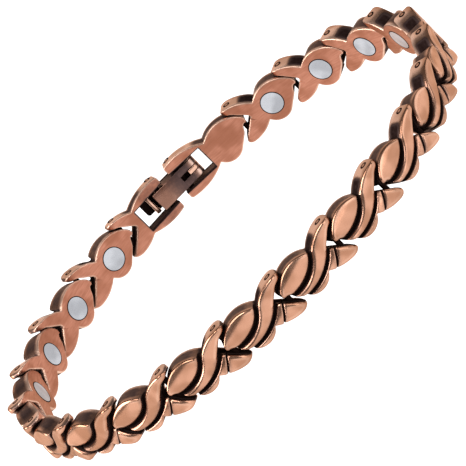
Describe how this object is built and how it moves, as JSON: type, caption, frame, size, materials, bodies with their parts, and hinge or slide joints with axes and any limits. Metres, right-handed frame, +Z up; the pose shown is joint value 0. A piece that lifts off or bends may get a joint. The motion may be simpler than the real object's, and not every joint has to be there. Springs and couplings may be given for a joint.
{
  "type": "magnetic link bracelet",
  "caption": "Magnetic copper link bracelet with leaf and ribbon relief, a round magnet set inside each link, upright hinge pins and a fold-over clasp.",
  "frame": {"origin": "middle of the bracelet's bounding box, on the surface that its lower rim lies on", "axes": "+X along the loop's longer way, +Y towards the clasp at the back, +Z up across the band, from the lower rim to the upper"},
  "size_m": [0.0685, 0.0584, 0.0058],
  "materials": {
    "copper": "polished copper plating, fine brushed inside, antiqued dark in the grooves and on the rims",
    "dark_copper": "antiqued copper plating, satin",
    "magnet": "bright nickel plating"
  },
  "bodies": {
    "band": {"link_01": "copper", "link_02": "copper", "link_03": "copper", "link_04": "copper", "link_05": "copper", "link_06": "copper", "link_07": "copper", "link_08": "copper", "link_09": "copper", "link_10": "copper", "link_11": "copper", "link_12": "copper", "link_13": "copper", "link_14": "copper", "link_15": "copper", "link_16": "copper", "link_17": "copper", "link_18": "copper", "link_19": "copper", "link_20": "copper", "magnet_01": "magnet", "magnet_02": "magnet", "magnet_03": "magnet", "magnet_04": "magnet", "magnet_05": "magnet", "magnet_06": "magnet", "magnet_07": "magnet", "magnet_08": "magnet", "magnet_09": "magnet", "magnet_10": "magnet", "magnet_11": "magnet", "magnet_12": "magnet", "magnet_13": "magnet", "magnet_14": "magnet", "magnet_15": "magnet", "magnet_16": "magnet", "magnet_17": "magnet", "magnet_18": "magnet", "magnet_19": "magnet", "magnet_20": "magnet", "hinge_pins": "dark_copper", "end_link_a": "copper", "end_link_b": "copper", "clasp_pin_a": "dark_copper", "clasp_pin_b": "dark_copper", "clasp_blade": "dark_copper", "cover_pin": "dark_copper"},
    "clasp_cover": {"clasp_cover": "copper"}
  },
  "joints": [
    {"name": "cover_hinge", "type": "hinge", "parent": "band", "child": "clasp_cover", "pos_m": [-0.00243, 0.02731, 0.0028], "axis": [0, 0, -1], "range_deg": [0, 110]}
  ]
}
